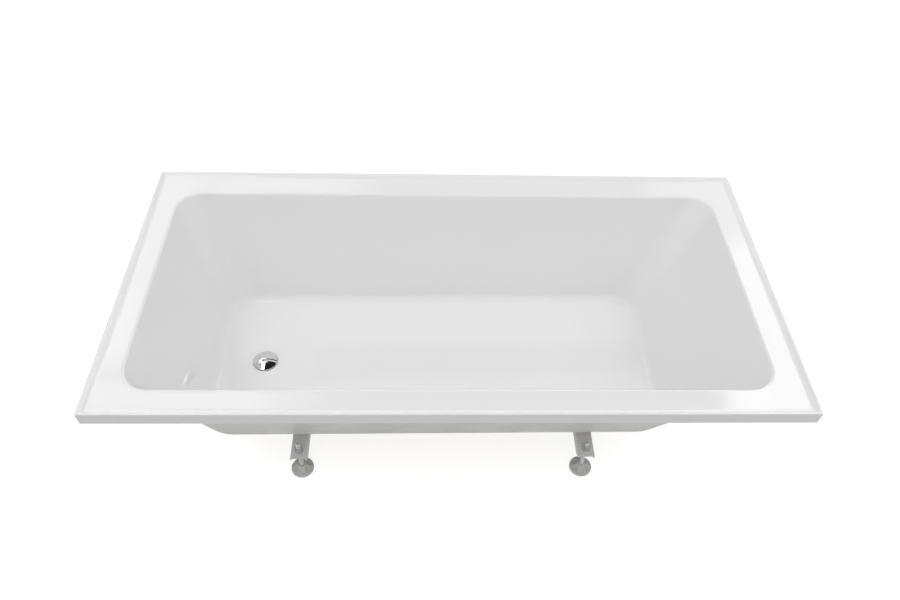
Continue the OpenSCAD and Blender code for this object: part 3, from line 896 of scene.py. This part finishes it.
def shell_piece(basin):
    """The acrylic shell: basin, flat rim, bead and skirt, in one smooth sheet."""
    s = basin.s
    waste = basin.waste
    sheet = s.acrylic_thickness
    depth = waste.recess_depth
    bottom = waste.recess_radius
    boss = waste.boss_radius
    # The recess widens a little to its top, and the floor takes up its slope over a short run
    flare = bottom + 0.0006
    run = 0.006
    seat = [(waste.hole_radius, -depth), (bottom, -depth), (flare, 0.0), (flare + run, 0.0)]
    seat = round_path(seat, (0.001, 0.0005), EDGE_STEPS)
    top_waste = [(p.x, p.y, on_floor((p.x - bottom) / run)) for p in seat]
    low_waste = (
        (boss + LEAD, -sheet, 1.0),
        (boss, -sheet, 1.0),
        (boss, -depth - sheet, 0.0),
        (waste.hole_radius, -depth - sheet, 0.0),
    )
    toe = s.bead_width + s.bead_slope
    toe_run = 0.012
    fold_run = 0.008
    skirt = basin.top - s.skirt_depth
    under = basin.rim_z - sheet
    outline = (
        (toe + toe_run, basin.rim_z),
        (toe, basin.rim_z),
        (s.bead_width, basin.top),
        (0.0, basin.top),
        (0.0, skirt),
        (sheet, skirt),
        (sheet, under),
        (sheet + fold_run, under),
    )
    # Toe, inner and outer edge of the bead's top, outer and inner edge of the skirt, and its fold
    radii = (0.014, 0.003, 0.0022, 0.0011, 0.0008, 0.003)
    edge = [(p.x, p.y) for p in round_path(outline, radii, EDGE_STEPS)]
    rings = basin.layer(0.0, sheet, top_waste, edge, low_waste)
    layer_piece("acrylic_bath", rings, "white_acrylic", "acrylic_shell")


def backing_piece(basin):
    """The glass fibre laid on the underside of the sheet."""
    s = basin.s
    waste = basin.waste
    sheet = s.acrylic_thickness + s.resin_thickness
    both = sheet + s.glass_thickness
    depth = waste.recess_depth
    hole = waste.hole_radius
    boss = waste.boss_radius + s.resin_thickness
    outer = boss + s.glass_thickness
    top_waste = (
        (hole, -depth - sheet, 0.0),
        (boss, -depth - sheet, 0.0),
        (boss, -sheet, 1.0),
        (boss + LEAD, -sheet, 1.0),
    )
    foot_run = 0.008
    pocket = ((outer + foot_run, -both), (outer, -both), (outer, -depth - both), (hole, -depth - both))
    low = round_path(pocket, (0.003, 0.002), steps=4)
    low_waste = [(p.x, p.y, on_floor((p.y + depth + both) / depth)) for p in low]
    # The backing ends this far inside the skirt's sheet
    gap = sheet + 0.001
    edge = ((gap, basin.rim_z - sheet), (gap, basin.rim_z - both))
    rings = basin.layer(sheet, both, top_waste, edge, low_waste)
    layer_piece("glass_fibre_skin", rings, "glass_fibre", "glass_fibre_backing")


# Operators


class BATH_OT_acrylic_shell(bpy.types.Operator):
    """Builds the acrylic shell"""

    bl_idname = "bath.acrylic_shell"
    bl_label = "Acrylic shell"

    def execute(self, context):
        shell_piece(Basin(context.scene))
        return {"FINISHED"}


class BATH_OT_backing(bpy.types.Operator):
    """Builds the glass-fibre backing"""

    bl_idname = "bath.backing"
    bl_label = "Glass-fibre backing"

    def execute(self, context):
        backing_piece(Basin(context.scene))
        return {"FINISHED"}


class BATH_OT_board_and_battens(bpy.types.Operator):
    """Dresses the base board and the battens under the rim"""

    bl_idname = "bath.board_and_battens"
    bl_label = "Base board and battens"

    def execute(self, context):
        refined_copy("base_board", "chipboard", TUB, 0.0008)
        for side, wood in (
            ("front", "softwood_long"),
            ("back", "softwood_long"),
            ("waste_end", "softwood_cross"),
            ("backrest_end", "softwood_cross"),
        ):
            refined_copy("rim_batten_" + side, wood, TUB, 0.0009)
        return {"FINISHED"}


class BATH_OT_waste(bpy.types.Operator):
    """Builds the waste: flange and tail, gaskets, slip washer and backnut"""

    bl_idname = "bath.waste"
    bl_label = "Waste"

    def execute(self, context):
        waste = context.scene.bath_waste
        basin = Basin(context.scene)
        refined_copy("waste_body", "chrome", TUB, 0.0003)
        # The thread begins a little over the tail's end and stops just under the backnut
        bare = 0.002
        gap = 0.0005
        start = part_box("waste_body")[0].z + bare
        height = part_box("waste_backnut")[0].z - gap - start
        wire = 0.0006
        proud = 0.0001
        winding = (waste.tail_radius + proud, height / waste.tail_pitch, height, THREAD_SIDES, wire)
        place = Vector((basin.waste_x, basin.waste_y, start))
        wound_piece("waste_tail_thread", mesh_of("core", [], []), place, winding, "chrome", TUB, 50.0)
        for part, finish, bevel in (
            ("gasket_upper", "rubber", 0.0002),
            ("gasket_lower", "rubber", 0.0005),
            ("slip_washer", "white_plastic", 0.0003),
            ("backnut", "turned_brass", 0.0005),
        ):
            refined_copy("waste_" + part, finish, TUB, bevel)
        return {"FINISHED"}


def cap_profile(waste, low, high):
    """Half the section of the plug's cap, from the bore of its boss round to the middle of its dome."""
    radius = waste.cap_radius
    rise = waste.cap_dome
    base = high - rise - waste.cap_thickness
    sphere = (radius * radius + rise * rise) / (2 * rise)
    crown = high - sphere
    # The dome's sphere ends at this share of the radius, and a rounded edge goes on from there
    share = 0.975
    steps = 24
    dome = []
    for i in range(steps + 1):
        angle = math.asin(radius * share / sphere) * (1 - i / steps)
        dome.append((sphere * math.sin(angle), crown + sphere * math.cos(angle)))
    dome[-1] = (AXIS, high)
    corner = crown + math.sqrt(sphere * sphere - radius * radius)
    ease = 0.0008
    side = [(radius - ease, base), (radius, base + ease), (radius, corner), dome[0]]
    boss = 0.0065
    bore = 0.0036
    bore_end = low + 0.0055
    profile = [(bore, bore_end), (bore, low), (boss, low), (boss, base)]
    profile += [(p.x, p.y) for p in round_path(side, (0.0004, 0.0006))[:-1]]
    return profile + dome + [(AXIS, bore_end)]


class BATH_OT_plug(bpy.types.Operator):
    """Builds the push-button plug: cap, seal, plunger, barrel and spring"""

    bl_idname = "bath.plug"
    bl_label = "Plug"

    def execute(self, context):
        waste = context.scene.bath_waste
        basin = Basin(context.scene)
        centre = Vector((basin.waste_x, basin.waste_y, 0.0))
        low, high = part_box("plug_cap")
        profile = cap_profile(waste, low.z, high.z)
        cap = turned_mesh("cap", profile, count=160, closed=True, centre=centre)
        finish_piece("plug_cap_chrome", cap, "chrome", PLUG, 50.0, ("plug_cap",))
        refined_copy("plug_seal", "rubber", PLUG, 0.0002)
        refined_copy("plug_plunger", "turned_brass", PLUG, 0.0003)
        refined_copy("plug_cartridge", "turned_brass", TUB, 0.0003)
        low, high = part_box("plug_spring")
        wire = waste.spring_wire
        mean = (high.x - low.x) / 2 - wire
        winding = (mean, float(waste.spring_turns), high.z - low.z - 2 * wire, WIRE_SIDES, wire)
        core = mesh_of("core", [], [])
        x, y, _z = centre
        place = Vector((x, y, low.z + wire))
        wound = ("plug_spring",)
        spring = wound_piece("plug_spring_wire", core, place, winding, "spring_wire", None, 60.0, wound)
        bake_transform(spring)
        return {"FINISHED"}


def screw_mesh(sizes):
    """A pan-head screw with a cross recess, head down, its shank along +Z from the origin."""
    head = sizes.head_height
    rim = sizes.head_radius
    shank = sizes.screw_radius
    # The head's rounding, as shares of its radius and its height
    rounding = ((0.45, 0.97), (0.75, 0.82), (0.93, 0.5), (1.0, 0.12))
    profile = [(AXIS, -head)] + [(rim * across, -head * down) for across, down in rounding]
    neck = 0.0004
    profile += [(rim * 0.98, 0.0), (shank, 0.0), (shank, neck)]
    pitch = 0.0018
    point = 0.004
    first = 0.0006
    core = shank * 0.78
    for i in range(int((sizes.screw_length - point) / pitch)):
        z = first + i * pitch
        profile += [(core, z + 0.3 * pitch), (shank, z + 0.65 * pitch), (core, z + pitch)]
    profile.append((AXIS, sizes.screw_length))
    body = add_object("screw_work", turned_mesh("screw", profile, count=28))
    # Each arm of the cross is a block that narrows into the head: its height and width as shares
    arm = rim * 0.5
    blade = rim * 0.11
    levels = ((-head * 1.2, 1.0), (-head * 0.35, 0.45))
    signs = ((-1, -1), (1, -1), (1, 1), (-1, 1))
    sides = [(0, 3, 2, 1), (4, 5, 6, 7), (0, 1, 5, 4), (1, 2, 6, 5), (2, 3, 7, 6), (3, 0, 4, 7)]
    cutters = []
    for x, y in ((arm, blade), (blade, arm)):
        corners = [(sx * x * width, sy * y * width, z) for z, width in levels for sx, sy in signs]
        cutter = add_object("cross_work", mesh_of("cross", corners, sides))
        cut = body.modifiers.new("cross_recess", "BOOLEAN")
        cut.operation = "DIFFERENCE"
        cut.object = cutter
        cut.solver = "EXACT"
        cutters.append(cutter)
    mesh = plain_mesh(body)
    for cutter in cutters:
        bpy.data.objects.remove(cutter)
    return mesh


def washer_mesh(sizes):
    """A stamped washer, its lower face at the origin."""
    outer = sizes.washer_radius
    hole = sizes.washer_hole
    high = sizes.washer_thickness
    ease = 0.0003
    profile = [(hole, ease), (hole + ease, 0.0), (outer - ease, 0.0), (outer, ease)]
    profile += [(outer, high - ease), (outer - ease, high), (hole + ease, high), (hole, high - ease)]
    return turned_mesh("washer", profile, count=48, closed=True)


def solid_boxes(node, count):
    """The lowest and the highest corner of each loose solid in a node."""
    work = welded(frame["nodes"][node].data, SOLID_APART)
    left = set(work.verts)
    found = []
    while left:
        island = [left.pop()]
        for vert in island:
            others = left.intersection(edge.other_vert(vert) for edge in vert.link_edges)
            left -= others
            island.extend(others)
        low, high = (Vector(pick(v.co[k] for v in island) for k in range(3)) for pick in (min, max))
        found.append((low, high))
    work.free()
    if len(found) != count:
        raise RuntimeError(f"{node} has {len(found)} solids, not {count}")
    return sorted(found, key=lambda pair: tuple(round(c, 4) for c in pair[0]))


class BATH_OT_leg_bars(bpy.types.Operator):
    """Dresses the leg bars and builds their screws and washers"""

    bl_idname = "bath.leg_bars"
    bl_label = "Leg bars"

    def execute(self, context):
        sizes = context.scene.bath_legs
        for end in ("waste_end", "backrest_end"):
            refined_copy("leg_bar_" + end, "white_coat", TUB, 0.0003)
        for node, template, rise in (
            ("leg_bar_screws", screw_mesh(sizes), sizes.head_height),
            ("foot_washers", washer_mesh(sizes), 0.0),
        ):
            boxes = solid_boxes(node, 8)
            places = [((low.x + high.x) / 2, (low.y + high.y) / 2, low.z + rise) for low, high in boxes]
            copies_piece(node + "_zinc", node, template, places, "zinc_plate")
        return {"FINISHED"}


def hex_nut(flat, height, bore):
    """Points and faces of a chamfered hex nut, its lower face at the origin."""
    count = 48
    half = flat / 2
    round_off = half * 0.96
    slope = math.tan(math.radians(30))
    lead = 0.0006

    def outline(z_edge, sign):
        ring = []
        for i in range(count):
            angle = 2 * math.pi * i / count
            sector = (angle + math.pi / 6) % (math.pi / 3) - math.pi / 6
            radius = half / math.cos(math.pi / 6 - abs(sector))
            fall = max(0.0, radius - round_off) * slope
            ring.append(Vector((radius * math.cos(angle), radius * math.sin(angle), z_edge - sign * fall)))
        return ring

    inside = ((bore, lead), (bore, height - lead), (bore + lead, height), (round_off, height))
    under = ((round_off, 0.0), (bore + lead, 0.0))
    rings = [circle(radius, z, ORIGIN, count) for radius, z in inside]
    rings += [outline(height, 1), outline(0.0, -1)]
    rings += [circle(radius, z, ORIGIN, count) for radius, z in under]
    return loft(rings, closed=True)


class BATH_OT_feet(bpy.types.Operator):
    """Builds the levelling feet: threaded rods, pads and nuts"""

    bl_idname = "bath.feet"
    bl_label = "Feet"

    def execute(self, context):
        sizes = context.scene.bath_legs
        crest = 0.00045
        root = sizes.rod_radius - crest * 1.6
        cone = 0.0008
        bare = 0.0025
        for corner in CORNERS:
            foot = "foot_" + corner
            low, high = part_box("foot_rod_" + corner)
            span = high.z - low.z
            x, y, _z = (low + high) / 2
            profile = [(AXIS, 0.0), (root - cone, 0.0), (root, cone)]
            profile += [(root, span - cone), (root - cone, span), (AXIS, span)]
            core = turned_mesh("rod_core", profile, count=40)
            height = span - bare
            winding = (sizes.rod_radius - crest, height / sizes.rod_pitch, height, THREAD_SIDES, crest)
            place = Vector((x, y, low.z))
            rod = ("foot_rod_" + corner,)
            wound_piece("foot_rod_thread_" + corner, core, place, winding, "zinc_plate", foot, 50.0, rod)
            refined_copy("foot_pad_" + corner, "white_plastic", foot, 0.0004)
            for kind, body in (("adjusting_nut_", "nut_under_"), ("lock_nut_", "nut_over_")):
                place = Vector((x, y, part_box(kind + corner)[0].z))
                points, faces = hex_nut(sizes.nut_flat, sizes.nut_height, sizes.rod_radius)
                nut = clean_mesh("nut", [p + place for p in points], faces)
                name = kind + "hex_" + corner
                finish_piece(name, nut, "zinc_plate", body + corner, 30.0, (kind + corner,))
        return {"FINISHED"}


# Stage

BATH_CENTRE = (0.0, 0.0, 0.35)

WHITE = (1, 1, 1, 1)

# The floor reaches this far each way, a little under the feet, and glows this much to the camera
FLOOR_REACH = 12.0
FLOOR_DROP = -0.0005
FLOOR_GLOW = 0.8

# Soft lamps: name, place, width, height, power
LAMPS = (
    ("overhead_far", (0.0, 0.0, 6.0), 2.0, 2.0, 39.0),
    ("overhead_front", (0.0, -1.3, 3.0), 3.0, 1.5, 5.2),
    ("front_fill", (0.0, -3.2, 2.2), 3.2, 2.0, 13.0),
    ("left_side", (-2.2, 0.0, 3.0), 1.2, 2.0, 19.5),
    ("right_side", (2.3, 0.0, 3.0), 1.2, 2.0, 21.0),
)

# Cards that polished faces mirror: name, x from and to, y from and to, height, soft edges, brightness
# and, for the one that stands behind the bath, its lean from level
CARDS = (
    ("dark_ceiling", -2.6, 1.72, -0.6, 1.45, 2.6, 0.12, 0.12, 0.02),
    ("dark_flag", -1.75, -0.95, 1.2, 1.95, 2.59, 0.1, 0.1, 0.2),
    ("left_flag", -2.7, -1.6, -0.6, 0.93, 2.59, 0.08, 0.08, 0.62),
    ("left_softbox", -1.55, -0.88, -0.3, 1.27, 2.58, 0.12, 0.12, 3.1),
    ("left_softbox_back", -3.1, -0.3, 1.0, 1.27, 2.575, 0.95, 0.08, 2.4),
    ("left_backdrop", -2.9, -1.5, 1.15, 3.8, 2.56, 0.2, 0.2, 2.4),
    ("left_backdrop_near", -2.9, -1.7, 1.35, 1.9, 2.555, 0.1, 0.04, 3.2),
    ("back_left_backdrop", -1.9, -0.2, 2.1, 3.8, 2.57, 0.6, 0.3, 2.1),
    ("floor_flag", -1.0, 1.8, 1.7, 2.12, 2.585, 0.08, 0.08, 0.0),
    ("back_backdrop", -1.2, 1.8, 1.4, 3.8, 2.59, 0.1, 0.1, 0.8),
    ("right_softbox", 1.53, 1.98, 0.9, 1.27, 2.555, 0.2, 0.1, 4.6),
    ("right_backdrop", 1.5, 3.4, 0.5, 2.5, 2.56, 0.3, 0.3, 3.9),
    ("right_backdrop_far", 1.35, 3.4, 2.2, 3.6, 2.565, 0.3, 0.3, 1.9),
    ("low_backdrop", -4.0, 4.0, 3.2, 5.2, 1.4, 0.3, 0.2, 3.1, math.radians(90)),
)


def white_floor():
    """White for the camera and in reflections, with the bath's soft shadow kept."""
    f = Finish("white_floor")
    rays = f.node("ShaderNodeLightPath")
    seen = rays["Is Camera Ray"] + rays["Is Glossy Ray"] + rays["Is Transmission Ray"]
    glow = f.node("ShaderNodeEmission", {"Color": WHITE, "Strength": seen * FLOOR_GLOW})["Emission"]
    paint = f.node("ShaderNodeBsdfDiffuse", {"Color": (0.5, 0.5, 0.5, 1)})["BSDF"]
    both = f.node("ShaderNodeAddShader", {"Shader": glow, "Shader_001": paint})["Shader"]
    under = f.node("ShaderNodeNewGeometry")["Backfacing"]
    return f.mixed(under, both, f.clear())


def card_material(name, half_x, half_y, soft_x, soft_y, strength):
    """A glow that fades out towards the card's edges."""
    f = Finish(name)
    place = f.node("ShaderNodeTexCoord")["Object"]
    fades = []
    for axis, half, soft in (("X", half_x, soft_x), ("Y", half_y, soft_y)):
        part = f.part(place, axis)
        away = part.maths("ABSOLUTE", part, 0.0)
        values = {"Value": away, "From Min": half - soft, "From Max": half, "To Min": 1.0, "To Max": 0.0}
        fades.append(f.node("ShaderNodeMapRange", values, interpolation_type="SMOOTHSTEP")["Result"])
    glow = f.node("ShaderNodeEmission", {"Strength": strength})["Emission"]
    return f.mixed(fades[0] * fades[1], f.clear(), glow)


def add_sheet(name, corners, material):
    """A flat sheet with one material."""
    mesh = mesh_of(name, corners, [(0, 1, 2, 3)])
    mesh.materials.append(material)
    return add_object(name, mesh)


def studio_card(name, x0, x1, y0, y1, height, soft_x, soft_y, strength, lean=0.0):
    """A card over or behind the bath that shows in reflections only; lean turns it up about its x axis."""
    half_x = (x1 - x0) / 2
    half_y = (y1 - y0) / 2
    corners = [(sx * half_x, sy * half_y, 0.0) for sx, sy in ((-1, -1), (-1, 1), (1, 1), (1, -1))]
    card = add_sheet(name, corners, card_material(name, half_x, half_y, soft_x, soft_y, strength))
    card.location = ((x0 + x1) / 2, (y0 + y1) / 2, height)
    card.rotation_euler.x = lean
    card.visible_camera = False
    card.visible_diffuse = False
    card.visible_transmission = False
    card.visible_shadow = False


def softbox(name, place, width, height, power):
    """A soft lamp that faces the bath and doesn't show in it."""
    lamp = bpy.data.lights.new(name, "AREA")
    lamp.shape = "RECTANGLE"
    lamp.size = width
    lamp.size_y = height
    lamp.energy = power
    piece = add_object(name, lamp)
    piece.location = place
    piece.rotation_mode = "QUATERNION"
    piece.rotation_quaternion = (Vector(BATH_CENTRE) - Vector(place)).to_track_quat("-Z", "Y")
    piece.visible_glossy = False


def make_world(strength, surround):
    """Even light all round, white to the camera and toned down in reflections."""
    world = bpy.data.worlds.new("studio")
    bpy.context.scene.world = world
    nodes = Nodes(cleared_tree(world))
    rays = nodes.node("ShaderNodeLightPath")
    mirrored = rays["Is Glossy Ray"]
    white = rays["Is Camera Ray"] + rays["Is Transmission Ray"] * (1.0 - mirrored)
    white = white.maths("MINIMUM", white, 1.0)
    level = strength + white * (1.0 - strength) + mirrored * (surround - strength)
    sky = nodes.node("ShaderNodeBackground", {"Color": WHITE, "Strength": level})["Background"]
    nodes.node("ShaderNodeOutputWorld", {"Surface": sky})


def make_camera(stage):
    """The camera at the photograph's place and angle."""
    lens = bpy.data.cameras.new("camera")
    lens.lens = stage.lens
    lens.sensor_width = 36.0
    lens.clip_start = 0.05
    lens.clip_end = 100.0
    camera = add_object("camera", lens)
    level = math.cos(stage.pitch)
    ahead = Vector((math.sin(stage.yaw) * level, math.cos(stage.yaw) * level, -math.sin(stage.pitch)))
    right = Vector((math.cos(stage.yaw), -math.sin(stage.yaw), 0.0))
    down = ahead.cross(right)
    c = math.cos(stage.roll)
    s = math.sin(stage.roll)
    across = c * right + s * down
    below = -s * right + c * down
    turn = Matrix((across, -below, -ahead)).transposed().to_4x4()
    turn.translation = Vector(stage.camera_place)
    camera.matrix_world = turn
    bpy.context.scene.camera = camera


class BATH_OT_stage(bpy.types.Operator):
    """Sets up the floor, the light and the camera"""

    bl_idname = "bath.stage"
    bl_label = "Stage"

    def execute(self, context):
        stage = context.scene.bath_stage
        signs = ((-1, -1), (1, -1), (1, 1), (-1, 1))
        corners = [(sx * FLOOR_REACH, sy * FLOOR_REACH, FLOOR_DROP) for sx, sy in signs]
        floor = add_sheet("floor", corners, white_floor())
        make_world(stage.sky, stage.surround)
        for lamp in LAMPS:
            softbox(*lamp)
        for card in CARDS:
            studio_card(*card)
        make_camera(stage)
        context.scene.view_settings.view_transform = "Standard"
        return {"FINISHED"}


class BATH_PT_panel(bpy.types.Panel):
    """Lists the bath's pieces and their sizes"""

    bl_idname = "BATH_PT_panel"
    bl_label = "Inset bath"
    bl_space_type = "VIEW_3D"
    bl_region_type = "UI"
    bl_category = "Bath"

    def draw(self, context):
        for operator in OPERATORS:
            self.layout.operator(operator.bl_idname)
        for group, _ in GROUPS:
            owner = getattr(context.scene, group)
            box = self.layout.box()
            box.label(text=type(owner).__name__)
            for key in type(owner).__annotations__:
                box.prop(owner, key)


GROUPS = (
    ("bath_shell", BathShellSizes),
    ("bath_waste", BathWasteSizes),
    ("bath_legs", BathLegSizes),
    ("bath_colours", BathColours),
    ("bath_stage", BathStageSizes),
)
OPERATORS = (
    BATH_OT_stage,
    BATH_OT_acrylic_shell,
    BATH_OT_backing,
    BATH_OT_board_and_battens,
    BATH_OT_waste,
    BATH_OT_plug,
    BATH_OT_leg_bars,
    BATH_OT_feet,
)


def register():
    for group, kind in GROUPS:
        bpy.utils.register_class(kind)
        setattr(bpy.types.Scene, group, PointerProperty(type=kind))
    for operator in OPERATORS:
        bpy.utils.register_class(operator)
    bpy.utils.register_class(BATH_PT_panel)


def unregister():
    bpy.utils.unregister_class(BATH_PT_panel)
    for operator in reversed(OPERATORS):
        bpy.utils.unregister_class(operator)
    for group, kind in reversed(GROUPS):
        delattr(bpy.types.Scene, group)
        bpy.utils.unregister_class(kind)


def main():
    """Builds everything in order."""
    register()
    make_finishes(bpy.context.scene.bath_colours)
    TREES.update(helix=helix_tree(), copies=copies_tree())
    for operator in OPERATORS:
        area, name = operator.bl_idname.split(".")
        getattr(getattr(bpy.ops, area), name)()


if __name__ == "__main__":
    main()
